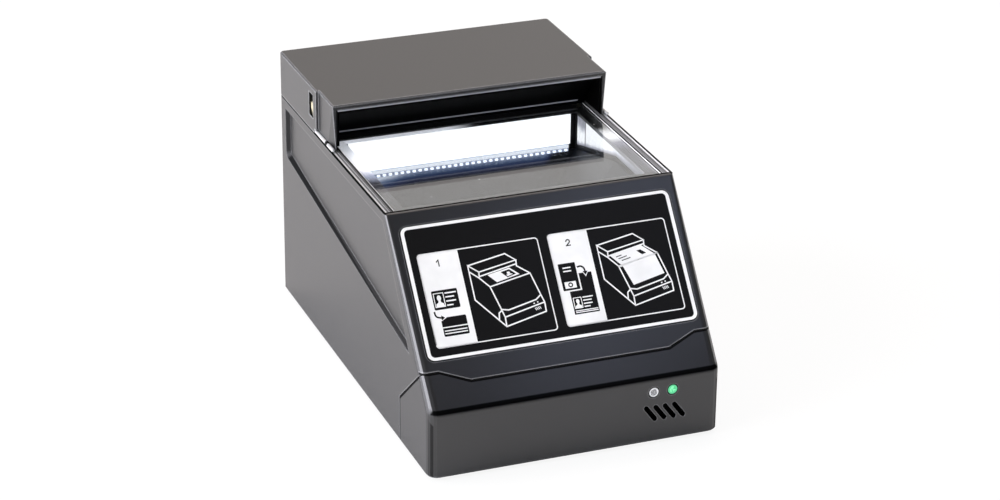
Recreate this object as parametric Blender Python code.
"""Full-page passport reader: sloped housing, glass bed under a lift-off hood, and the optics below.

Metres, +Z up. The front faces -Y, and the origin is on the table under the middle of the reader.
"""

import math

import bmesh
import bpy
from mathutils import Matrix, Vector

# Clearances and cuts
GAP = 0.0003
SEAM = 0.0004
OVERRUN = 0.002

# Overall sizes of the housing
BODY_WIDTH = 0.140
BODY_DEPTH = 0.215
BODY_HEIGHT = 0.1035
WALL = 0.003
FOOT_HEIGHT = 0.0015
FRONT_HEIGHT = 0.031
SLOPE_RUN = 0.059
FRONT_CORNER_RADIUS = 0.005
SLOPE_EDGE_RADIUS = 0.002
REAR_CORNER_RADIUS = 0.0022
NOSE_EDGE_RADIUS = 0.003
RIM_CHAMFER = 0.0008
DECK_CHAMFER = 0.0004
INNER_RADIUS = 0.0015

# Round stretches, in flat steps
CORNER_STEPS = 5
EDGE_STEPS = 3
ROUND_STEPS = 32
SMALL_ROUND_STEPS = 20
SMOOTH_ANGLE = math.radians(32)

# Nose cover: where it parts from the housing
NOSE_DEPTH = 0.0398
NOSE_SHOULDER = 0.022
SPLIT_HIGH = 0.0193
SPLIT_LOW = 0.0135
SPLIT_SIDE_MARGIN = 0.0088
SPLIT_SPREAD = 0.0134

# Shallow panels pressed into the sides
RECESS_DEPTH = 0.0020
RECESS_BEVEL = 0.0020
RECESS_REAR_MARGIN = 0.0080
RECESS_TOP_MARGIN = 0.0042
RECESS_EDGE_MARGIN = 0.0046
RECESS_FOOT_MARGIN = 0.0088
RECESS_REAR_HEIGHT = 0.0733
RECESS_FRONT_HEIGHT = 0.0495
RECESS_RADIUS = 0.0045

# Label on the slope
LABEL_SIDE_MARGIN = 0.0048
LABEL_TOP_MARGIN = 0.007
LABEL_FOOT_MARGIN = 0.005
LABEL_THICKNESS = 0.0005
LABEL_PROUD = 0.0002
LABEL_RADIUS = 0.0035

# Glass bed
BED_SIDE_LAND = 0.0042
BED_FRONT_LAND = 0.0008
BED_UNDER_HOOD = 0.0245
GLASS_THICKNESS = 0.0028
GLASS_SINK = 0.0002
GASKET_WIDTH = 0.0006
BED_RADIUS = 0.001
FRAME_THICKNESS = 0.0016
FRAME_REAR_LAP = 0.004

# Ribbed strips beside the glass
STRIP_WIDTH = 0.0033
STRIP_THICKNESS = 0.0006
STRIP_RIB_HEIGHT = 0.0003
STRIP_RIBS = 5
STRIP_RIB_SHARE = 0.5

# Hood
HOOD_HEIGHT = 0.0224
HOOD_DEPTH = 0.0785
HOOD_WALL = 0.0022
HOOD_ROOF = 0.0024
HOOD_STEP_BACK = 0.0213
HOOD_STEP_IN = 0.0014
HOOD_SIDE_WALL = 0.0036
HOOD_EDGE = 0.0006
HOOD_CORNER_RADIUS = 0.002
CHEEK_FACET_DEPTH = 0.0076
CHEEK_FACET_IN = 0.0014
LINER_THICKNESS = 0.0014
LINER_CLEARANCE = 0.0017
LINER_REACH = 0.0176
LINER_CHEEK = 0.0008
LINER_TOP_LAND = 0.0022
LOCATING_RIM_HEIGHT = 0.002
LOCATING_RIM_WALL = 0.0015
LOCATING_RIM_SETBACK = 0.0355

# Pins in the foot of the hood
PIN_RADIUS = 0.00085
PIN_NECK_RADIUS = 0.0005
PIN_INSET = 0.0009
PIN_REACH = 0.002
PIN_NECK_SETBACK = 0.0063
PIN_NECK_LENGTH = 0.0014
PIN_SETBACK = 0.0237
PIN_CHANNEL_GAP = 0.0004

# Catches behind the windows of the hood
WINDOW_SETBACK = 0.0255
WINDOW_WIDTH = 0.0063
WINDOW_FOOT = 0.007
WINDOW_TOP = 0.0187
CATCH_OVERHANG = 0.0003
CATCH_THICKNESS = 0.0012
CATCH_BUMP = 0.0007
CATCH_SKIN = 0.0008
CATCH_HEIGHT = 0.0128
CATCH_FOOT_LENGTH = 0.005
CATCH_FOOT_HEIGHT = 0.0012

# Light well under the glass
WELL_SIDE_MARGIN = 0.007
WELL_FRONT_MARGIN = 0.0067
WELL_REAR_MARGIN = 0.011
LIGHT_FRAME_WALL = 0.006
LIGHT_FRAME_REAR_HEIGHT = 0.0195
LIGHT_FRAME_FRONT_HEIGHT = 0.0052
LIGHT_FRAME_FLAT = 0.040
LIGHT_RING_HEIGHT = 0.002
POST_WIDTH = 0.002
PANEL_THICKNESS = 0.0016
LED_BOARD_THICKNESS = 0.0012
FUNNEL_WALL = 0.0015
FUNNEL_THROAT_HALF = 0.0175

# Camera under the well
CAMERA_MOUNT_HALF = 0.020
CAMERA_MOUNT_WALL = 0.002
CAMERA_MOUNT_HEIGHT = 0.0244
CAMERA_MOUNT_WINDOW_HALF = 0.010
CAMERA_MOUNT_WINDOW_HEIGHT = 0.012
CAMERA_BOARD_HALF = 0.015
CAMERA_BOARD_THICKNESS = 0.0016
CAMERA_BOARD_LIFT = 0.008
LENS_HOLDER_RADIUS = 0.0075
LENS_HOLDER_HEIGHT = 0.006
LENS_BARREL_RADIUS = 0.006
LENS_BARREL_HEIGHT = 0.0105
LENS_BULGE = 0.0012
LENS_RIM = 0.0012

# Base plate, feet and screws
BASE_THICKNESS = 0.0025
STANDOFF_RADIUS = 0.0025
FOOT_RADIUS = 0.007
FOOT_BEVEL = 0.0005
FOOT_SIDE_INSET = 0.018
FOOT_FRONT_INSET = 0.022
FOOT_REAR_INSET = 0.022
BOSS_RADIUS = 0.004
BOSS_SIDE_INSET = 0.0066
BOSS_NOSE_MARGIN = 0.0102
BOSS_REAR_INSET = 0.013
BOSS_HEIGHT = 0.020
BOSS_BORE_RADIUS = 0.0015
BOSS_BORE_DEPTH = 0.014
SCREW_HEAD_RADIUS = 0.003
SCREW_HEAD_HEIGHT = 0.0011
SCREW_SHANK_RADIUS = 0.0012
SCREW_LENGTH = 0.012
SCREW_CLEARANCE = 0.0004

# Main board and its sockets
MAIN_BOARD_HALF_WIDTH = 0.042
MAIN_BOARD_FRONT_GAP = 0.0018
MAIN_BOARD_REAR_GAP = 0.005
MAIN_BOARD_THICKNESS = 0.0016
MAIN_BOARD_LIFT = 0.005
STANDOFF_INSET = 0.004
SOCKET_SINK = 0.0005
USB_X = -0.022
USB_WIDTH = 0.012
USB_HEIGHT = 0.0109
USB_LENGTH = 0.016
USB_SHELL = 0.0006
USB_FLOOR = 0.004
USB_TONGUE_WIDTH = 0.0056
USB_TONGUE_HEIGHT = 0.0032
USB_TONGUE_LENGTH = 0.0072
POWER_X = 0.012
POWER_WIDTH = 0.009
POWER_HEIGHT = 0.011
POWER_LENGTH = 0.014
POWER_BORE_RADIUS = 0.0029
POWER_BORE_DEPTH = 0.0095
POWER_PIN_RADIUS = 0.001
POWER_PIN_LENGTH = 0.008

# Lamps, sounder and its slots in the nose
LAMP_SIDE_MARGIN = 0.0239
LAMP_PITCH = 0.0092
LAMP_HEIGHT = 0.0249
LAMP_RADIUS = 0.0025
LAMP_DOME = 0.0006
LAMP_FLANGE_RADIUS = 0.0034
LAMP_FLANGE_THICKNESS = 0.0008
LAMP_PIPE_RADIUS = 0.0017
SLOT_COUNT = 4
SLOT_PITCH = 0.0046
SLOT_HEIGHT = 0.01435
SLOT_LENGTH = 0.0098
SLOT_HALF_WIDTH = 0.0011
SLOT_LEAN = math.radians(37)
INDICATOR_BOARD_WIDTH = 0.031
INDICATOR_BOARD_LOW = 0.0075
INDICATOR_BOARD_TOP = 0.0305
INDICATOR_BOARD_SETBACK = 0.009
INDICATOR_BOARD_THICKNESS = 0.0016
INDICATOR_POST_RADIUS = 0.0016
INDICATOR_POST_INSET = 0.003
SOUNDER_SIDE_MARGIN = 0.0275
SOUNDER_RADIUS = 0.0062
SOUNDER_HEIGHT = 0.0142
SOUNDER_THICKNESS = 0.005

# Levels and places that follow from the sizes above
HALF_WIDTH = BODY_WIDTH / 2
FRONT_Y = -BODY_DEPTH / 2
REAR_Y = BODY_DEPTH / 2
RIM_Z = FOOT_HEIGHT
DECK_Z = RIM_Z + BODY_HEIGHT
DECK_UNDER_Z = DECK_Z - WALL
NOSE_TOP_Z = RIM_Z + FRONT_HEIGHT
SLOPE_LEAN = math.atan2(SLOPE_RUN, DECK_Z - NOSE_TOP_Z)
SLOPE_LENGTH = math.hypot(SLOPE_RUN, DECK_Z - NOSE_TOP_Z)
SPLIT_HIGH_HALF = HALF_WIDTH - SPLIT_SIDE_MARGIN
SPLIT_LOW_HALF = SPLIT_HIGH_HALF - SPLIT_SPREAD
LABEL_WIDTH = BODY_WIDTH - 2 * LABEL_SIDE_MARGIN
LABEL_HEIGHT = SLOPE_LENGTH - LABEL_TOP_MARGIN - LABEL_FOOT_MARGIN - SPLIT_HIGH
HOOD_FRONT_Y = REAR_Y - HOOD_DEPTH
HOOD_STEP_Y = HOOD_FRONT_Y + HOOD_STEP_BACK
HOOD_SLIM_HALF = HALF_WIDTH - HOOD_STEP_IN
HOOD_INNER_HALF = HALF_WIDTH - HOOD_SIDE_WALL
BED_HALF_WIDTH = HALF_WIDTH - BED_SIDE_LAND
BED_FRONT_Y = FRONT_Y + SLOPE_RUN + BED_FRONT_LAND
BED_REAR_Y = HOOD_FRONT_Y + BED_UNDER_HOOD
WELL_HALF_WIDTH = BED_HALF_WIDTH - WELL_SIDE_MARGIN
WELL_FRONT_Y = BED_FRONT_Y + WELL_FRONT_MARGIN
WELL_REAR_Y = BED_REAR_Y - WELL_REAR_MARGIN
WELL_CENTRE_Y = (WELL_FRONT_Y + WELL_REAR_Y) / 2
RAMP_START_Y = WELL_FRONT_Y - LIGHT_FRAME_WALL + LIGHT_FRAME_FLAT
WINDOW_START_Y = HOOD_FRONT_Y + WINDOW_SETBACK
WINDOW_END_Y = WINDOW_START_Y + WINDOW_WIDTH
PIN_NECK_Y = HOOD_FRONT_Y + PIN_NECK_SETBACK
PIN_END_Y = HOOD_FRONT_Y + PIN_SETBACK
LAMP_XS = (HALF_WIDTH - LAMP_SIDE_MARGIN - LAMP_PITCH, HALF_WIDTH - LAMP_SIDE_MARGIN)
SOUNDER_X = HALF_WIDTH - SOUNDER_SIDE_MARGIN
MAIN_BOARD_FRONT_Y = WELL_CENTRE_Y + CAMERA_MOUNT_HALF + MAIN_BOARD_FRONT_GAP
MAIN_BOARD_REAR_Y = REAR_Y - WALL - MAIN_BOARD_REAR_GAP
BASE_LOW_Z = RIM_Z + GAP
BASE_TOP_Z = BASE_LOW_Z + BASE_THICKNESS
GLASS_TOP_Z = DECK_Z - GLASS_SINK
GLASS_LOW_Z = GLASS_TOP_Z - GLASS_THICKNESS
FRAME_TOP_Z = min(GLASS_LOW_Z, DECK_UNDER_Z) - GAP
FRAME_LOW_Z = FRAME_TOP_Z - FRAME_THICKNESS
WELL_TOP_Z = FRAME_LOW_Z - GAP
HOOD_FOOT_Z = DECK_Z + GAP
HOOD_TOP_Z = DECK_Z + HOOD_HEIGHT
PIN_X = HALF_WIDTH - PIN_INSET
PIN_Z = HOOD_FOOT_Z + PIN_RADIUS

# Pieces that lift off together
HOOD_PIECES = ("hood_shell", "hood_liner")

# Frames for outlines: the first two axes hold the outline, the third is the way it is extruded
PLAN = Matrix.Identity(4)
SIDE = Matrix(((0, 0, 1, 0), (1, 0, 0, 0), (0, 1, 0, 0), (0, 0, 0, 1)))
FACE = Matrix(((1, 0, 0, 0), (0, 0, -1, 0), (0, 1, 0, 0), (0, 0, 0, 1)))
SLOPE = Matrix.Translation((0, FRONT_Y, NOSE_TOP_Z)) @ Matrix.Rotation(math.pi / 2 - SLOPE_LEAN, 4, "X")


def material(name, colour, roughness, metallic=0.0, transmission=0.0):
    """A Principled material with one colour."""
    made = bpy.data.materials.new(name)
    made.use_nodes = True
    made.diffuse_color = (*colour, 1.0)
    shader = made.node_tree.nodes["Principled BSDF"]
    shader.inputs["Base Color"].default_value = (*colour, 1.0)
    shader.inputs["Roughness"].default_value = roughness
    shader.inputs["Metallic"].default_value = metallic
    shader.inputs["Transmission Weight"].default_value = transmission
    return made


def corner_arc(centre, radius, start, steps):
    """Points of a quarter circle, counter-clockwise from the start angle."""
    angles = [start + math.pi / 2 * step / steps for step in range(steps + 1)]
    return [(centre[0] + radius * math.cos(a), centre[1] + radius * math.sin(a)) for a in angles]


def rounded_outline(left, right, low, high, low_radius, high_radius, steps=CORNER_STEPS):
    """A rectangle with its low and its high corners rounded, counter-clockwise."""
    quarter = math.pi / 2
    outline = corner_arc((right - low_radius, low + low_radius), low_radius, -quarter, steps)
    outline += corner_arc((right - high_radius, high - high_radius), high_radius, 0, steps)
    outline += corner_arc((left + high_radius, high - high_radius), high_radius, quarter, steps)
    outline += corner_arc((left + low_radius, low + low_radius), low_radius, 2 * quarter, steps)
    return outline


def box_outline(left, right, low, high):
    """A plain rectangle, counter-clockwise."""
    return [(left, low), (right, low), (right, high), (left, high)]


def circle_outline(centre, radius, steps=SMALL_ROUND_STEPS):
    """A full circle, counter-clockwise."""
    angles = [2 * math.pi * step / steps for step in range(steps)]
    return [(centre[0] + radius * math.cos(a), centre[1] + radius * math.sin(a)) for a in angles]


def solid(name, mesh, look):
    """Make an object of a finished bmesh, with its faces pointing out."""
    bmesh.ops.recalc_face_normals(mesh, faces=mesh.faces)
    data = bpy.data.meshes.new(name)
    mesh.to_mesh(data)
    mesh.free()
    body = bpy.data.objects.new(name, data)
    if look:
        data.materials.append(look)
    bpy.context.scene.collection.objects.link(body)
    return body


def loft(name, sections, look=None, twisted=False):
    """Join closed loops with equal numbers of points into one closed solid."""
    mesh = bmesh.new()
    loops = [[mesh.verts.new(point) for point in section] for section in sections]
    for lower, upper in zip(loops, loops[1:]):
        for index, vertex in enumerate(lower):
            following = (index + 1) % len(lower)
            if twisted:
                mesh.faces.new((vertex, lower[following], upper[following]))
                mesh.faces.new((vertex, upper[following], upper[index]))
            else:
                mesh.faces.new((vertex, lower[following], upper[following], upper[index]))
    mesh.faces.new(reversed(loops[0]))
    mesh.faces.new(loops[-1])
    return solid(name, mesh, look)


def extrude(name, outline, frame, low, high, look=None):
    """Raise an outline in a frame's first two axes between two levels of its third."""
    sections = [[frame @ Vector((u, v, level)) for u, v in outline] for level in (low, high)]
    return loft(name, sections, look)


def turned(name, profile, frame, look=None, steps=SMALL_ROUND_STEPS):
    """Turn a profile of (radius, level) points round a frame's third axis."""
    sections = [[frame @ Vector((u, v, level)) for u, v in circle_outline((0, 0), radius, steps)]
                for radius, level in profile]
    return loft(name, sections, look)


def bake(body):
    """Replace an object's mesh by the one its modifiers give."""
    bpy.context.view_layer.update()
    graph = bpy.context.evaluated_depsgraph_get()
    baked = bpy.data.meshes.new_from_object(body.evaluated_get(graph))
    body.modifiers.clear()
    body.data = baked


def combine(body, tool, operation):
    """Cut, join or trim a body with a tool by an exact Boolean, and use the tool up."""
    modifier = body.modifiers.new("Boolean", "BOOLEAN")
    modifier.operation = operation
    modifier.solver = "EXACT"
    modifier.object = tool
    bake(body)
    bpy.data.objects.remove(tool)
    return body


def cut(body, *tools):
    """Take each tool's volume out of a body."""
    for tool in tools:
        combine(body, tool, "DIFFERENCE")
    return body


def join(body, *tools):
    """Weld each tool's volume to a body."""
    for tool in tools:
        combine(body, tool, "UNION")
    return body


def slope_y(level, depth=0.0):
    """Y of the slope at a level, measured on a surface lying this deep inside it."""
    return FRONT_Y + depth / math.cos(SLOPE_LEAN) + (level - NOSE_TOP_Z) * math.tan(SLOPE_LEAN)


def slope_point(distance):
    """(y, z) on the slope at a distance above the nose edge."""
    return (FRONT_Y + distance * math.sin(SLOPE_LEAN), NOSE_TOP_Z + distance * math.cos(SLOPE_LEAN))


def body_section(front, level, inset):
    """Plan outline of the housing at a level, with front corners that tighten up the slope."""
    rise = max(0.0, level - NOSE_TOP_Z) / (DECK_Z - NOSE_TOP_Z)
    front_radius = FRONT_CORNER_RADIUS + (SLOPE_EDGE_RADIUS - FRONT_CORNER_RADIUS) * rise
    half = HALF_WIDTH - inset
    outline = rounded_outline(-half, half, front + inset, REAR_Y - inset,
                              front_radius - inset, REAR_CORNER_RADIUS - inset)
    return [(x, y, level) for x, y in outline]


def housing_form(name, look):
    """The whole housing as one solid: upright front, rounded nose edge, slope and deck."""
    tangent = NOSE_EDGE_RADIUS * math.tan(SLOPE_LEAN / 2)
    sections = [body_section(FRONT_Y, RIM_Z, RIM_CHAMFER), body_section(FRONT_Y, RIM_Z + RIM_CHAMFER, 0)]
    for step in range(EDGE_STEPS + 1):
        angle = SLOPE_LEAN * step / EDGE_STEPS
        front = FRONT_Y + NOSE_EDGE_RADIUS * (1 - math.cos(angle))
        level = NOSE_TOP_Z - tangent + NOSE_EDGE_RADIUS * math.sin(angle)
        sections.append(body_section(front, level, 0))
    below_deck = DECK_Z - DECK_CHAMFER
    sections.append(body_section(slope_y(below_deck), below_deck, 0))
    sections.append(body_section(slope_y(DECK_Z), DECK_Z, DECK_CHAMFER))
    return loft(name, sections, look)


def housing_hollow():
    """The space inside the walls of the housing, open below."""
    half = HALF_WIDTH - WALL
    knee = NOSE_TOP_Z - WALL * (1 / math.cos(SLOPE_LEAN) - 1) / math.tan(SLOPE_LEAN)
    sections = []
    for front, level in ((FRONT_Y + WALL, RIM_Z - OVERRUN), (FRONT_Y + WALL, knee),
                         (slope_y(DECK_UNDER_Z, WALL), DECK_UNDER_Z)):
        outline = rounded_outline(-half, half, front, REAR_Y - WALL, INNER_RADIUS, INNER_RADIUS, EDGE_STEPS)
        sections.append([(x, y, level) for x, y in outline])
    return loft("hollow", sections)


def nose_region(margin):
    """The space that the nose cover takes, grown by a margin: stepped down across the slope."""
    back = FRONT_Y + NOSE_DEPTH + margin
    shoulder = Vector((back, RIM_Z + NOSE_SHOULDER + margin))
    edge = Vector(slope_point(SPLIT_HIGH + margin))
    outside = edge + (edge - shoulder).normalized() * OVERRUN
    low = RIM_Z - OVERRUN
    outline = [(FRONT_Y - OVERRUN, low), (back, low), tuple(shoulder), tuple(outside),
               (FRONT_Y - OVERRUN, outside.y)]
    reach = HALF_WIDTH + OVERRUN
    region = extrude("nose_region", outline, SIDE, -reach, reach)
    flare = (SPLIT_HIGH_HALF - SPLIT_LOW_HALF) / (SPLIT_HIGH - SPLIT_LOW)
    high = SPLIT_HIGH + OVERRUN
    low_half = SPLIT_LOW_HALF - margin
    high_half = SPLIT_HIGH_HALF - margin + flare * OVERRUN
    low_edge = SPLIT_LOW + margin
    step = [(-low_half, low_edge), (low_half, low_edge), (high_half, high), (-high_half, high)]
    return cut(region, extrude("nose_step", step, SLOPE, -2 * WALL, OVERRUN))


def recess_outline(inset):
    """(y, z) outline of a side panel's recess, with its low rear corner rounded."""
    rear = REAR_Y - RECESS_REAR_MARGIN - inset
    top = DECK_Z - RECESS_TOP_MARGIN - inset
    rear_low = RIM_Z + RECESS_REAR_HEIGHT + inset
    front_low = RIM_Z + RECESS_FRONT_HEIGHT + inset
    front_bottom = (slope_y(front_low, RECESS_FOOT_MARGIN + inset), front_low)
    front_top = (slope_y(top, RECESS_EDGE_MARGIN + inset), top)
    radius = RECESS_RADIUS - inset
    pitch = math.atan2(rear_low - front_low, rear - front_bottom[0])
    turn = math.pi / 2 - pitch
    setback = radius * math.tan(turn / 2)
    rise = setback * math.sin(pitch) + radius - radius * math.cos(turn)
    centre = (rear - radius, rear_low + rise / math.sin(turn))
    angles = [-turn + turn * step / CORNER_STEPS for step in range(CORNER_STEPS + 1)]
    arc = [(centre[0] + radius * math.cos(a), centre[1] + radius * math.sin(a)) for a in angles]
    return [front_bottom, *arc, (rear, top), front_top]


def side_recess(side):
    """Cutter for one side panel: a level floor inside a sloped edge."""
    sections = []
    for out, inset in ((GAP, 0), (-RECESS_DEPTH, RECESS_BEVEL)):
        sections.append([(side * (HALF_WIDTH + out), y, z) for y, z in recess_outline(inset)])
    return loft("side_recess", sections)


def slope_panel(name, growth, low, high, look=None):
    """The label's outline on the slope, grown by a margin, between two depths."""
    top = SLOPE_LENGTH - LABEL_TOP_MARGIN + growth
    half = LABEL_WIDTH / 2 + growth
    radius = LABEL_RADIUS + growth
    outline = rounded_outline(-half, half, top - LABEL_HEIGHT - 2 * growth, top, radius, radius)
    return extrude(name, outline, SLOPE, low, high, look)


def bed_outline(margin, radius=BED_RADIUS):
    """Plan outline of the glass bed's opening, shrunk by a margin."""
    half = BED_HALF_WIDTH - margin
    return rounded_outline(-half, half, BED_FRONT_Y + margin, BED_REAR_Y - margin, radius, radius, EDGE_STEPS)


def boss_places():
    """(x, y) of the four screw bosses beside the walls."""
    x = HALF_WIDTH - BOSS_SIDE_INSET
    front, rear = FRONT_Y + NOSE_DEPTH + BOSS_NOSE_MARGIN, REAR_Y - BOSS_REAR_INSET
    return [(side * x, y) for y in (front, rear) for side in (-1, 1)]


def socket_places():
    """(x, width, height) of the two sockets in the rear wall."""
    return ((USB_X, USB_WIDTH, USB_HEIGHT), (POWER_X, POWER_WIDTH, POWER_HEIGHT))


def socket_low():
    """Level of the undersides of the sockets, just above the main board."""
    return BASE_TOP_Z + MAIN_BOARD_LIFT + GAP + MAIN_BOARD_THICKNESS + GAP


def locating_rim():
    """Low U-shaped rim on the deck that the hood drops over."""
    half = HOOD_INNER_HALF - GAP
    rear = REAR_Y - HOOD_WALL - GAP
    front = HOOD_FRONT_Y + LOCATING_RIM_SETBACK
    inner = half - LOCATING_RIM_WALL
    inner_rear = rear - LOCATING_RIM_WALL
    outline = [(-half, front), (-inner, front), (-inner, inner_rear), (inner, inner_rear), (inner, front),
               (half, front), (half, rear), (-half, rear)]
    return extrude("locating_rim", outline, PLAN, DECK_UNDER_Z + GAP, DECK_Z + LOCATING_RIM_HEIGHT)


def upper_housing(look):
    """Side walls, slope, rear wall and deck, with the bed's opening and the screw bosses."""
    body = cut(housing_form("upper_housing", look), housing_hollow(), nose_region(SEAM))
    cut(body, extrude("bed", bed_outline(0), PLAN, DECK_UNDER_Z - OVERRUN, DECK_Z + OVERRUN))
    for side in (-1, 1):
        edges = sorted((side * (BED_HALF_WIDTH - OVERRUN), side * (BED_HALF_WIDTH + STRIP_WIDTH + GAP)))
        groove = box_outline(*edges, BED_FRONT_Y, BED_REAR_Y)
        depth = STRIP_THICKNESS + STRIP_RIB_HEIGHT + GAP
        cut(body, extrude("groove", groove, PLAN, DECK_Z - depth, DECK_Z + OVERRUN), side_recess(side))
    cut(body, slope_panel("label_recess", GAP, LABEL_PROUD - LABEL_THICKNESS - GAP, OVERRUN))
    join(body, locating_rim())
    foot = BASE_TOP_Z + GAP
    for place in boss_places():
        join(body, extrude("boss", circle_outline(place, BOSS_RADIUS), PLAN, foot, foot + BOSS_HEIGHT))
        bore = circle_outline(place, BOSS_BORE_RADIUS)
        cut(body, extrude("bore", bore, PLAN, foot - OVERRUN, foot + BOSS_BORE_DEPTH))
    for x, width, height in socket_places():
        half = width / 2 + GAP
        hole = box_outline(x - half, x + half, socket_low() - GAP, socket_low() + height + GAP)
        cut(body, extrude("socket_hole", hole, FACE, -REAR_Y - OVERRUN, -REAR_Y + WALL + OVERRUN))
    return body


def slot_outline(centre):
    """A slanted slot with round ends in the front face."""
    half = SLOT_LENGTH / 2 - SLOT_HALF_WIDTH
    outline = []
    for end in (0, 1):
        start = -math.pi / 2 + math.pi * end
        for step in range(CORNER_STEPS + 1):
            angle = start + math.pi * step / CORNER_STEPS
            along = half * (1 - 2 * end) + SLOT_HALF_WIDTH * math.cos(angle)
            across = SLOT_HALF_WIDTH * math.sin(angle)
            outline.append((along, across))
    tilt = Matrix.Rotation(-math.pi / 2 + SLOT_LEAN, 2)
    turned_points = [tilt @ Vector(point) for point in outline]
    return [(centre[0] + point.x, centre[1] + point.y) for point in turned_points]


def indicator_posts():
    """(x, z) of the two posts that carry the indicator board."""
    top = RIM_Z + INDICATOR_BOARD_TOP - INDICATOR_POST_INSET
    reach = INDICATOR_BOARD_WIDTH / 2 - INDICATOR_POST_INSET
    return ((SOUNDER_X - reach, top), (SOUNDER_X + reach, top))


def nose_cover(look):
    """The lower slope and front face, with lamp holes, sounder slots and board posts."""
    body = combine(cut(housing_form("nose_cover", look), housing_hollow()), nose_region(0), "INTERSECT")
    outside, inside = -FRONT_Y + OVERRUN, -FRONT_Y - WALL - OVERRUN
    for x in LAMP_XS:
        hole = circle_outline((x, RIM_Z + LAMP_HEIGHT), LAMP_RADIUS + GAP)
        cut(body, extrude("lamp_hole", hole, FACE, inside, outside))
    for index in range(SLOT_COUNT):
        centre = (SOUNDER_X + (index - (SLOT_COUNT - 1) / 2) * SLOT_PITCH, RIM_Z + SLOT_HEIGHT)
        cut(body, extrude("slot", slot_outline(centre), FACE, inside, outside))
    rear = -FRONT_Y - INDICATOR_BOARD_SETBACK + GAP
    for place in indicator_posts():
        post = circle_outline(place, INDICATOR_POST_RADIUS)
        join(body, extrude("post", post, FACE, rear, -FRONT_Y - WALL + GAP))
    return body


def label_plate(look):
    """Thin printed sheet set into the slope."""
    return slope_panel("label_plate", 0, LABEL_PROUD - LABEL_THICKNESS, LABEL_PROUD, look)


def glass_plate(look):
    """The glass that a page is laid on."""
    outline = bed_outline(GASKET_WIDTH + 2 * GAP)
    return extrude("glass_plate", outline, PLAN, GLASS_LOW_Z, GLASS_TOP_Z, look)


def glass_gasket(look):
    """Rubber ring between the glass and the edge of its opening."""
    ring = extrude("glass_gasket", bed_outline(GAP), PLAN, GLASS_LOW_Z, GLASS_TOP_Z, look)
    hole = bed_outline(GASKET_WIDTH + GAP)
    return cut(ring, extrude("gasket_hole", hole, PLAN, GLASS_LOW_Z - OVERRUN, GLASS_TOP_Z + OVERRUN))


def glass_frame(look):
    """Metal frame under the glass, held below the deck."""
    half = HALF_WIDTH - WALL - GAP
    front = slope_y(FRAME_TOP_Z, WALL) + GAP
    rear = BED_REAR_Y + FRAME_REAR_LAP
    outline = rounded_outline(-half, half, front, rear, INNER_RADIUS, INNER_RADIUS, EDGE_STEPS)
    body = extrude("glass_frame", outline, PLAN, FRAME_LOW_Z, FRAME_TOP_Z, look)
    hole = box_outline(-WELL_HALF_WIDTH, WELL_HALF_WIDTH, WELL_FRONT_Y, WELL_REAR_Y)
    return cut(body, extrude("frame_hole", hole, PLAN, FRAME_LOW_Z - OVERRUN, FRAME_TOP_Z + OVERRUN))


def guide_strip(name, side, look):
    """Ribbed strip beside the glass, as one profile drawn out along Y."""
    low = DECK_Z - STRIP_THICKNESS - STRIP_RIB_HEIGHT
    ground = low + STRIP_THICKNESS
    pitch = STRIP_WIDTH / STRIP_RIBS
    land = pitch * (1 - STRIP_RIB_SHARE) / 2
    outline = [(0, low), (STRIP_WIDTH, low), (STRIP_WIDTH, ground)]
    for index in reversed(range(STRIP_RIBS)):
        start = index * pitch
        outline += [(start + pitch - land, ground), (start + pitch / 2, ground + STRIP_RIB_HEIGHT),
                    (start + land, ground)]
    outline.append((0, ground))
    first = BED_HALF_WIDTH if side > 0 else -BED_HALF_WIDTH - STRIP_WIDTH
    placed = [(first + x, z) for x, z in outline]
    return extrude(name, placed, FACE, -BED_REAR_Y + GAP, -BED_FRONT_Y - GAP, look)


def hood_outline(inset):
    """Plan outline of the hood: the front part is slimmer than the rear part."""
    slim = HOOD_SLIM_HALF - inset
    half = HALF_WIDTH - inset
    front = HOOD_FRONT_Y + inset
    step = HOOD_STEP_Y + inset
    rear = REAR_Y - inset
    radius = HOOD_CORNER_RADIUS - inset
    right = corner_arc((half - radius, rear - radius), radius, 0, CORNER_STEPS)
    left = corner_arc((radius - half, rear - radius), radius, math.pi / 2, CORNER_STEPS)
    right_side = [(slim, front), (slim, step), (half, step), *right]
    left_side = [*left, (-half, step), (-slim, step), (-slim, front)]
    return right_side + left_side


def cheek_facet(side):
    """Wedge that turns the foot of a cheek's front edge inward."""
    outer = HOOD_SLIM_HALF + OVERRUN
    front = HOOD_FRONT_Y - OVERRUN
    tip = HOOD_TOP_Z - HOOD_EDGE
    foot = HOOD_FOOT_Z - OVERRUN
    steepness = CHEEK_FACET_IN / CHEEK_FACET_DEPTH
    spread = (tip - foot) / (tip - HOOD_FOOT_Z)
    sections = []
    for level, back in ((foot, CHEEK_FACET_DEPTH * spread), (tip, 0)):
        near = HOOD_SLIM_HALF - steepness * (back + OVERRUN)
        far = HOOD_FRONT_Y + back + OVERRUN / steepness
        corners = ((near, front), (outer, front), (outer, far))
        sections.append([(side * x, y, level) for x, y in corners])
    return loft("cheek_facet", sections)


def pin_channel(side):
    """Round-topped channel in the foot of the hood that clears a pin."""
    radius = PIN_RADIUS + PIN_CHANNEL_GAP
    near, far = side * (PIN_X - radius), side * (PIN_X + radius)
    low = HOOD_FOOT_Z - OVERRUN
    arch = [(side * PIN_X + radius * math.cos(a), PIN_Z + radius * math.sin(a))
            for a in (math.pi * step / (2 * CORNER_STEPS) for step in range(2 * CORNER_STEPS + 1))]
    outline = [(min(near, far), low), (max(near, far), low), *arch]
    rear = -PIN_END_Y - PIN_CHANNEL_GAP
    return extrude("pin_channel", outline, FACE, rear, -HOOD_FRONT_Y + OVERRUN)


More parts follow.
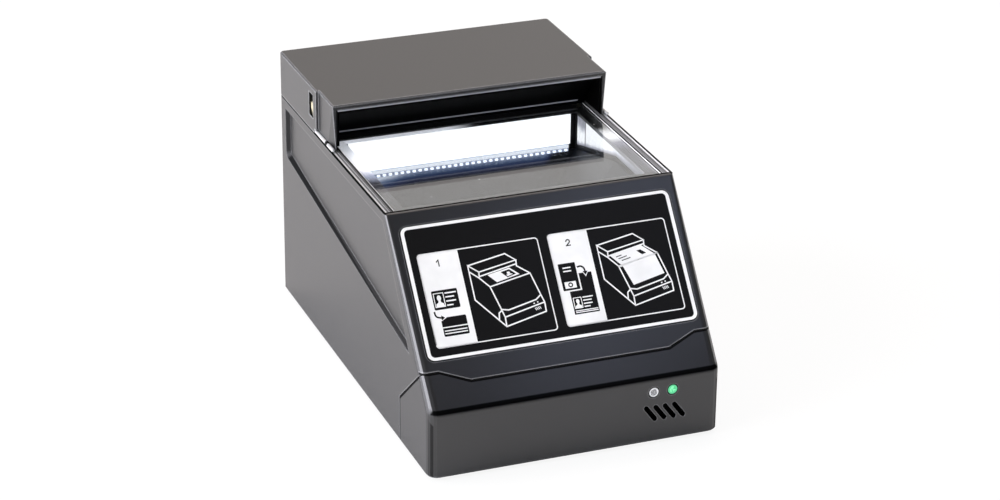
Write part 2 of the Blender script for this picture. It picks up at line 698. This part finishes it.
def hood_shell(look):
    """Outer shell of the hood, open below and in front, with a window in each side."""
    levels = ((HOOD_FOOT_Z, 0), (HOOD_TOP_Z - HOOD_EDGE, 0), (HOOD_TOP_Z, HOOD_EDGE))
    sections = [[(x, y, level) for x, y in hood_outline(inset)] for level, inset in levels]
    body = loft("hood_shell", sections, look)
    inside = box_outline(-HOOD_INNER_HALF, HOOD_INNER_HALF, HOOD_FRONT_Y - OVERRUN, REAR_Y - HOOD_WALL)
    cut(body, extrude("inside", inside, PLAN, HOOD_FOOT_Z - OVERRUN, HOOD_TOP_Z - HOOD_ROOF))
    reach = HALF_WIDTH + OVERRUN
    window = box_outline(WINDOW_START_Y, WINDOW_END_Y, DECK_Z + WINDOW_FOOT, DECK_Z + WINDOW_TOP)
    cut(body, extrude("windows", window, SIDE, -reach, reach))
    margin = CATCH_OVERHANG + GAP
    lead_in = box_outline(WINDOW_START_Y - margin, WINDOW_END_Y + margin,
                          HOOD_FOOT_Z - OVERRUN, DECK_Z + WINDOW_TOP)
    reach = HALF_WIDTH - CATCH_SKIN
    cut(body, extrude("lead_in", lead_in, SIDE, -reach, reach))
    for side in (-1, 1):
        cut(body, cheek_facet(side), pin_channel(side))
    return body


def hood_liner(look):
    """Black liner: a plate that slopes back from the lip to the glass, with two cheeks."""
    half = HOOD_INNER_HALF - GAP
    front = HOOD_FRONT_Y + GAP
    top = HOOD_TOP_Z - HOOD_ROOF - GAP
    foot = HOOD_FOOT_Z + LINER_CLEARANCE
    back = HOOD_FRONT_Y + LINER_REACH
    slant = math.atan2(top - foot, back - front - LINER_TOP_LAND)
    setback = LINER_THICKNESS / math.sin(slant)
    outline = [(front, foot), (back + setback, foot), (front + LINER_TOP_LAND + setback, top), (front, top)]
    body = extrude("hood_liner", outline, SIDE, -half, half, look)
    drop = LINER_THICKNESS * math.tan(slant / 2)
    steep = math.tan(slant)
    ceiling = top - LINER_THICKNESS
    ceiling_end = front + LINER_TOP_LAND + setback - drop - LINER_THICKNESS / steep
    bay = [(front - OVERRUN, foot - OVERRUN), (back + OVERRUN / steep, foot - OVERRUN), (back, foot),
           (ceiling_end, ceiling), (front - OVERRUN, ceiling)]
    inner = half - LINER_CHEEK
    return cut(body, extrude("bay", bay, SIDE, -inner, inner))


def hood_pin(name, side, look):
    """Necked steel pin lying in the foot of the hood."""
    round_off = PIN_RADIUS / 3
    start = HOOD_FRONT_Y - PIN_REACH
    neck_end = PIN_NECK_Y + PIN_NECK_LENGTH
    profile = [(PIN_RADIUS - round_off, start), (PIN_RADIUS, start + round_off),
               (PIN_RADIUS, PIN_NECK_Y), (PIN_NECK_RADIUS, PIN_NECK_Y + round_off),
               (PIN_NECK_RADIUS, neck_end - round_off), (PIN_RADIUS, neck_end),
               (PIN_RADIUS, PIN_END_Y - round_off), (PIN_RADIUS - round_off, PIN_END_Y)]
    axis = Matrix.Translation((side * PIN_X, 0, PIN_Z)) @ Matrix.Rotation(-math.pi / 2, 4, "X")
    return turned(name, profile, axis, look)


def hood_catch(name, side, look):
    """Springy tongue on the deck with a rounded bump behind a window of the hood."""
    face = HALF_WIDTH - CATCH_SKIN - GAP
    outer = face - CATCH_BUMP
    inner = outer - CATCH_THICKNESS
    foot = HOOD_FOOT_Z
    top = foot + CATCH_HEIGHT
    foot_top = foot + CATCH_FOOT_HEIGHT
    swell = DECK_Z + WINDOW_FOOT
    middle = (swell + top) / 2
    heel = inner - CATCH_FOOT_LENGTH
    outline = [(heel, foot), (outer, foot), (outer, swell), (face, middle), (face, top),
               (inner, top), (inner, foot_top), (heel, foot_top)]
    placed = [(side * x, z) for x, z in outline]
    rear, front = -WINDOW_END_Y - CATCH_OVERHANG, -WINDOW_START_Y + CATCH_OVERHANG
    return extrude(name, placed, FACE, rear, front, look)


def ring_level(y):
    """Underside of the light frame: high and flat in front, then sloping down to the rear."""
    share = max(0.0, (y - RAMP_START_Y) / (WELL_REAR_Y + LIGHT_FRAME_WALL - RAMP_START_Y))
    height = LIGHT_FRAME_FRONT_HEIGHT + (LIGHT_FRAME_REAR_HEIGHT - LIGHT_FRAME_FRONT_HEIGHT) * share
    return WELL_TOP_Z - height


def light_side_outline(front, rear, lift, top):
    """(y, z) outline that stands on the light frame's stepped underside, raised by a lift."""
    bottom = [(y, ring_level(y) + lift) for y in (front, RAMP_START_Y, rear)]
    return [*bottom, (rear, top), (front, top)]


def light_frame(look):
    """Black frame round the light well: a slanted ring with four corner posts."""
    front, rear = WELL_FRONT_Y, WELL_REAR_Y
    outer_half = WELL_HALF_WIDTH + LIGHT_FRAME_WALL
    outline = light_side_outline(front - LIGHT_FRAME_WALL, rear + LIGHT_FRAME_WALL, 0, WELL_TOP_Z)
    body = extrude("light_frame", outline, SIDE, -outer_half, outer_half, look)
    above = WELL_TOP_Z + OVERRUN
    reach = outer_half + OVERRUN
    well = box_outline(-WELL_HALF_WIDTH, WELL_HALF_WIDTH, front, rear)
    cut(body, extrude("well", well, PLAN, ring_level(rear) - OVERRUN, above))
    side_pocket = light_side_outline(front + POST_WIDTH, rear - POST_WIDTH, LIGHT_RING_HEIGHT, above)
    cut(body, extrude("side_pocket", side_pocket, SIDE, -reach, reach))
    half = WELL_HALF_WIDTH - POST_WIDTH
    for y, way in ((front, -1), (rear, 1)):
        far = y + way * (LIGHT_FRAME_WALL + OVERRUN)
        near = y - way * OVERRUN
        pocket = box_outline(-half, half, min(near, far), max(near, far))
        cut(body, extrude("pocket", pocket, PLAN, end_ledge(y) - GAP, above))
    return body


def end_ledge(y):
    """Level at which a piece stands at the front or rear end of the well."""
    return ring_level(y) + LIGHT_RING_HEIGHT + 2 * GAP


def light_sheet(name, side, setback, thickness, look):
    """Upright sheet along one side of the well, behind its opening by a setback."""
    outline = light_side_outline(WELL_FRONT_Y + POST_WIDTH + GAP, WELL_REAR_Y - POST_WIDTH - GAP,
                                 LIGHT_RING_HEIGHT + GAP, WELL_TOP_Z)
    near = WELL_HALF_WIDTH + setback
    edges = sorted((side * near, side * (near + thickness)))
    return extrude(name, outline, SIDE, *edges, look)


def light_end_sheet(name, way, setback, thickness, look):
    """Upright sheet across the front or rear end of the well."""
    y = WELL_REAR_Y if way > 0 else WELL_FRONT_Y
    half = WELL_HALF_WIDTH - POST_WIDTH - GAP
    edges = sorted((y + way * setback, y + way * (setback + thickness)))
    outline = box_outline(-half, half, *edges)
    return extrude(name, outline, PLAN, end_ledge(y), WELL_TOP_Z, look)


def light_sheets(diffuser, board):
    """A white panel on each side of the well with a board of lamps behind it."""
    behind = PANEL_THICKNESS + 2 * GAP
    for name, side in (("left", -1), ("right", 1)):
        light_sheet(name + "_light_panel", side, GAP, PANEL_THICKNESS, diffuser)
        light_sheet(name + "_led_board", side, behind, LED_BOARD_THICKNESS, board)
    for name, way in (("front", -1), ("rear", 1)):
        light_end_sheet(name + "_light_panel", way, GAP, PANEL_THICKNESS, diffuser)
        light_end_sheet(name + "_led_board", way, behind, LED_BOARD_THICKNESS, board)


def funnel_throat(thickness, level):
    """Loop of the funnel's square lower end, in six points."""
    half = FUNNEL_THROAT_HALF + thickness
    return [(x, WELL_CENTRE_Y + way * half, level)
            for x, way in ((-half, -1), (half, -1), (half, 0), (half, 1), (-half, 1), (-half, 0))]


def funnel_mouth(thickness):
    """Loop of the funnel's mouth under the light frame, in six points."""
    half = WELL_HALF_WIDTH + thickness
    front, rear = WELL_FRONT_Y - thickness, WELL_REAR_Y + thickness
    right_side = [(half, y) for y in (front, RAMP_START_Y, rear)]
    left_side = [(-half, y) for y in (rear, RAMP_START_Y)]
    return [(x, y, ring_level(y) - GAP) for x, y in [(-half, front), *right_side, *left_side]]


def light_funnel(look):
    """Black shade that narrows from the light frame to the camera."""
    foot = BASE_TOP_Z + GAP + CAMERA_MOUNT_HEIGHT + GAP
    mouth, hollow_mouth = funnel_mouth(FUNNEL_WALL), funnel_mouth(0)
    raised = [(x, y, WELL_TOP_Z) for x, y, _ in mouth]
    body = loft("light_funnel", [funnel_throat(FUNNEL_WALL, foot), mouth, raised], look, twisted=True)
    above = [(x, y, WELL_TOP_Z + OVERRUN) for x, y, _ in hollow_mouth]
    hollow = [funnel_throat(0, foot - OVERRUN), funnel_throat(0, foot), hollow_mouth, above]
    cut(body, loft("funnel_hollow", hollow, twisted=True))
    reach = WELL_HALF_WIDTH + FUNNEL_WALL + OVERRUN
    margin = FUNNEL_WALL + OVERRUN
    trim = light_side_outline(WELL_FRONT_Y - margin, WELL_REAR_Y + margin, -GAP, WELL_TOP_Z + OVERRUN)
    return cut(body, extrude("funnel_trim", trim, SIDE, -reach, reach))


def camera_mount(look):
    """Square tower on the base plate that carries the funnel round the camera."""
    foot = BASE_TOP_Z + GAP
    top = foot + CAMERA_MOUNT_HEIGHT

    def ring(half):
        return box_outline(-half, half, WELL_CENTRE_Y - half, WELL_CENTRE_Y + half)

    body = extrude("camera_mount", ring(CAMERA_MOUNT_HALF), PLAN, foot, top, look)
    hole = ring(CAMERA_MOUNT_HALF - CAMERA_MOUNT_WALL)
    cut(body, extrude("tower_hole", hole, PLAN, foot - OVERRUN, top + OVERRUN))
    reach = CAMERA_MOUNT_HALF + OVERRUN
    window = box_outline(-CAMERA_MOUNT_WINDOW_HALF, CAMERA_MOUNT_WINDOW_HALF,
                         foot - OVERRUN, foot + CAMERA_MOUNT_WINDOW_HEIGHT)
    return cut(body, extrude("tower_window", window, FACE, -WELL_CENTRE_Y - reach, -WELL_CENTRE_Y + reach))


def camera_board_low():
    """Level of the underside of the camera board."""
    return BASE_TOP_Z + CAMERA_BOARD_LIFT + GAP


def camera_board(look):
    """Square board with the image sensor."""
    half = CAMERA_BOARD_HALF
    outline = box_outline(-half, half, WELL_CENTRE_Y - half, WELL_CENTRE_Y + half)
    low = camera_board_low()
    return extrude("camera_board", outline, PLAN, low, low + CAMERA_BOARD_THICKNESS, look)


def camera_lens(look):
    """Holder and barrel of the lens, looking up at the glass."""
    foot = camera_board_low() + CAMERA_BOARD_THICKNESS + GAP
    shoulder = foot + LENS_HOLDER_HEIGHT
    top = foot + LENS_BARREL_HEIGHT
    bulge_radius = LENS_BARREL_RADIUS - LENS_RIM - GAP
    profile = [(LENS_HOLDER_RADIUS, foot), (LENS_HOLDER_RADIUS, shoulder),
               (LENS_BARREL_RADIUS, shoulder + GAP), (LENS_BARREL_RADIUS, top),
               (LENS_BARREL_RADIUS - LENS_RIM, top), (bulge_radius, top - LENS_RIM)]
    for step in range(1, EDGE_STEPS + 1):
        angle = math.pi / 2 * step / (EDGE_STEPS + 1)
        profile.append((bulge_radius * math.cos(angle), top - LENS_RIM + LENS_BULGE * math.sin(angle)))
    return turned("camera_lens", profile, Matrix.Translation((0, WELL_CENTRE_Y, 0)), look, ROUND_STEPS)


def board_corners():
    """(x, y) of the main board's four standoffs."""
    x = MAIN_BOARD_HALF_WIDTH - STANDOFF_INSET
    front, rear = MAIN_BOARD_FRONT_Y + STANDOFF_INSET, MAIN_BOARD_REAR_Y - STANDOFF_INSET
    return [(side * x, y) for y in (front, rear) for side in (-1, 1)]


def camera_corners():
    """(x, y) of the camera board's four standoffs."""
    inset = CAMERA_BOARD_HALF - STANDOFF_RADIUS - GAP
    return [(side * inset, WELL_CENTRE_Y + way * inset) for way in (-1, 1) for side in (-1, 1)]


def base_plate(look):
    """Bottom plate with standoffs for the boards and counterbored screw holes."""
    half = HALF_WIDTH - WALL - GAP
    radius = INNER_RADIUS + GAP
    inset = WALL + GAP
    outline = rounded_outline(-half, half, FRONT_Y + inset, REAR_Y - inset, radius, radius, EDGE_STEPS)
    body = extrude("base_plate", outline, PLAN, BASE_LOW_Z, BASE_TOP_Z, look)
    root = BASE_TOP_Z - GAP
    for places, lift in ((board_corners(), MAIN_BOARD_LIFT), (camera_corners(), CAMERA_BOARD_LIFT)):
        for place in places:
            post = circle_outline(place, STANDOFF_RADIUS, ROUND_STEPS // 2)
            join(body, extrude("standoff", post, PLAN, root, BASE_TOP_Z + lift))
    for place in boss_places():
        hole = circle_outline(place, SCREW_SHANK_RADIUS + SCREW_CLEARANCE)
        counterbore = circle_outline(place, SCREW_HEAD_RADIUS + SCREW_CLEARANCE)
        below = BASE_LOW_Z - OVERRUN
        seat = BASE_LOW_Z + SCREW_HEAD_HEIGHT + GAP
        cut(body, extrude("screw_hole", hole, PLAN, below, BASE_TOP_Z + OVERRUN),
            extrude("counterbore", counterbore, PLAN, below, seat))
    return body


def base_screw(name, place, look):
    """Screw from below through the base plate into a boss."""
    profile = [(SCREW_HEAD_RADIUS, BASE_LOW_Z), (SCREW_HEAD_RADIUS, BASE_LOW_Z + SCREW_HEAD_HEIGHT),
               (SCREW_SHANK_RADIUS, BASE_LOW_Z + SCREW_HEAD_HEIGHT),
               (SCREW_SHANK_RADIUS, BASE_LOW_Z + SCREW_LENGTH - SCREW_SHANK_RADIUS),
               (SCREW_SHANK_RADIUS / 3, BASE_LOW_Z + SCREW_LENGTH)]
    return turned(name, profile, Matrix.Translation((*place, 0)), look)


def foot_places():
    """(name, x, y) of the four feet."""
    x = HALF_WIDTH - FOOT_SIDE_INSET
    front, rear = FRONT_Y + FOOT_FRONT_INSET, REAR_Y - FOOT_REAR_INSET
    return (("front_left", -x, front), ("front_right", x, front),
            ("rear_left", -x, rear), ("rear_right", x, rear))


def rubber_foot(name, x, y, look):
    """Round rubber foot stuck under the base plate."""
    profile = [(FOOT_RADIUS - FOOT_BEVEL, 0), (FOOT_RADIUS, FOOT_BEVEL), (FOOT_RADIUS, BASE_LOW_Z - GAP)]
    return turned(name + "_foot", profile, Matrix.Translation((x, y, 0)), look, ROUND_STEPS)


def main_board(look):
    """Controller board on the base plate behind the camera."""
    half = MAIN_BOARD_HALF_WIDTH
    outline = box_outline(-half, half, MAIN_BOARD_FRONT_Y, MAIN_BOARD_REAR_Y)
    low = BASE_TOP_Z + MAIN_BOARD_LIFT + GAP
    return extrude("main_board", outline, PLAN, low, low + MAIN_BOARD_THICKNESS, look)


def usb_socket(look):
    """Square data socket with a tongue, flush in the rear wall."""
    rear = -REAR_Y + SOCKET_SINK
    low, top = socket_low(), socket_low() + USB_HEIGHT
    half = USB_WIDTH / 2
    outline = box_outline(USB_X - half, USB_X + half, low, top)
    body = extrude("usb_socket", outline, FACE, rear, rear + USB_LENGTH, look)
    inner = half - USB_SHELL
    cavity = box_outline(USB_X - inner, USB_X + inner, low + USB_SHELL, top - USB_SHELL)
    cut(body, extrude("cavity", cavity, FACE, rear - OVERRUN, rear + USB_LENGTH - USB_FLOOR))
    middle = (low + top) / 2
    tongue = box_outline(USB_X - USB_TONGUE_WIDTH / 2, USB_X + USB_TONGUE_WIDTH / 2,
                         middle - USB_TONGUE_HEIGHT / 2, middle + USB_TONGUE_HEIGHT / 2)
    floor = rear + USB_LENGTH - USB_FLOOR
    return join(body, extrude("tongue", tongue, FACE, floor - USB_TONGUE_LENGTH, floor + USB_SHELL))


def power_socket(look):
    """Round power inlet with its centre pin, flush in the rear wall."""
    rear = -REAR_Y + SOCKET_SINK
    low, top = socket_low(), socket_low() + POWER_HEIGHT
    half = POWER_WIDTH / 2
    outline = box_outline(POWER_X - half, POWER_X + half, low, top)
    body = extrude("power_socket", outline, FACE, rear, rear + POWER_LENGTH, look)
    centre = (POWER_X, (low + top) / 2)
    bore = circle_outline(centre, POWER_BORE_RADIUS)
    cut(body, extrude("power_bore", bore, FACE, rear - OVERRUN, rear + POWER_BORE_DEPTH))
    pin = circle_outline(centre, POWER_PIN_RADIUS)
    floor = rear + POWER_BORE_DEPTH
    return join(body, extrude("power_pin", pin, FACE, floor - POWER_PIN_LENGTH, floor + POWER_PIN_RADIUS))


def lamp_lens(name, x, look):
    """Clear lamp: dome in the front face, flange behind it and a light pipe to the board."""
    wall = WALL + GAP
    flange = wall + LAMP_FLANGE_THICKNESS
    end = INDICATOR_BOARD_SETBACK - GAP
    profile = []
    for step in range(EDGE_STEPS):
        angle = math.pi / 2 * (EDGE_STEPS - step) / (EDGE_STEPS + 1)
        profile.append((LAMP_RADIUS * math.cos(angle), -LAMP_DOME * math.sin(angle)))
    profile += [(LAMP_RADIUS, 0), (LAMP_RADIUS, wall), (LAMP_FLANGE_RADIUS, wall),
                (LAMP_FLANGE_RADIUS, flange), (LAMP_PIPE_RADIUS, flange), (LAMP_PIPE_RADIUS, end)]
    place = (x, FRONT_Y + LAMP_DOME, RIM_Z + LAMP_HEIGHT)
    shifted = [(radius, max(depth - LAMP_DOME, -LAMP_DOME)) for radius, depth in profile]
    return turned(name, shifted, Matrix.Translation(place) @ Matrix.Rotation(-math.pi / 2, 4, "X"), look)


def indicator_board(look):
    """Small board behind the front face for the lamps and the sounder."""
    half = INDICATOR_BOARD_WIDTH / 2
    outline = box_outline(SOUNDER_X - half, SOUNDER_X + half,
                          RIM_Z + INDICATOR_BOARD_LOW, RIM_Z + INDICATOR_BOARD_TOP)
    face = -FRONT_Y - INDICATOR_BOARD_SETBACK
    return extrude("indicator_board", outline, FACE, face - INDICATOR_BOARD_THICKNESS, face, look)


def sounder(look):
    """Round sounder on the indicator board, behind the slots."""
    centre = (SOUNDER_X, RIM_Z + SOUNDER_HEIGHT)
    rear = -FRONT_Y - INDICATOR_BOARD_SETBACK + GAP
    outline = circle_outline(centre, SOUNDER_RADIUS, ROUND_STEPS)
    return extrude("sounder", outline, FACE, rear, rear + SOUNDER_THICKNESS, look)


def carrier(name, place):
    """Empty that carries the pieces of one body."""
    empty = bpy.data.objects.new(name, None)
    empty.location = place
    bpy.context.scene.collection.objects.link(empty)
    return empty


def hang(body, parent):
    """Put a piece's origin under its middle and hang it on its body's empty."""
    corners = [Vector(corner) for corner in body.bound_box]
    middle = sum(corners, Vector()) / len(corners)
    anchor = Vector((middle.x, middle.y, min(corner.z for corner in corners)))
    body.data.transform(Matrix.Translation(-anchor))
    body.parent = parent
    body.location = anchor - parent.location


def build():
    """Clear the scene and make every piece of the reader."""
    for leftover in list(bpy.data.objects):
        bpy.data.objects.remove(leftover)
    anthracite = material("anthracite_plastic", (0.11, 0.11, 0.112), 0.42)
    black = material("black_plastic", (0.012, 0.012, 0.014), 0.5)
    rubber = material("black_rubber", (0.015, 0.015, 0.015), 0.8)
    print_film = material("printed_film", (0.02, 0.02, 0.02), 0.35)
    glass = material("glass", (0.95, 0.98, 0.97), 0.02, transmission=1.0)
    steel = material("bright_steel", (0.62, 0.62, 0.63), 0.22, metallic=1.0)
    ribbed = material("grey_strip", (0.28, 0.28, 0.29), 0.45)
    nylon = material("ivory_nylon", (0.72, 0.68, 0.52), 0.4)
    diffuser = material("white_diffuser", (0.9, 0.91, 0.93), 0.5)
    board = material("green_board", (0.02, 0.12, 0.05), 0.5)
    clear = material("clear_lamp", (0.85, 0.85, 0.83), 0.15, transmission=0.6)
    green = material("green_lamp", (0.10, 0.75, 0.08), 0.2, transmission=0.4)
    upper_housing(anthracite)
    nose_cover(anthracite)
    base_plate(black)
    hood_shell(anthracite)
    hood_liner(black)
    label_plate(print_film)
    glass_plate(glass)
    glass_gasket(rubber)
    glass_frame(steel)
    for name, side in (("left", -1), ("right", 1)):
        guide_strip(name + "_guide_strip", side, ribbed)
        hood_pin(name + "_hood_pin", side, steel)
        hood_catch(name + "_hood_catch", side, nylon)
    light_frame(black)
    light_sheets(diffuser, board)
    light_funnel(black)
    camera_mount(black)
    camera_board(board)
    camera_lens(black)
    main_board(board)
    usb_socket(steel)
    power_socket(black)
    for name, x, look in zip(("white_lamp_lens", "green_lamp_lens"), LAMP_XS, (clear, green)):
        lamp_lens(name, x, look)
    indicator_board(board)
    sounder(black)
    for name, x, y in foot_places():
        rubber_foot(name, x, y, rubber)
    for name, place in zip(("front_left", "front_right", "rear_left", "rear_right"), boss_places()):
        base_screw(name + "_screw", place, steel)
    pieces = list(bpy.context.scene.objects)
    reader = carrier("reader", (0, 0, 0))
    hood = carrier("hood_lift", (0, (HOOD_FRONT_Y + REAR_Y) / 2, HOOD_FOOT_Z))
    hood.parent = reader
    for body in pieces:
        body.data.shade_smooth()
        body.data.set_sharp_from_angle(angle=SMOOTH_ANGLE)
        hang(body, hood if body.name in HOOD_PIECES else reader)


build()
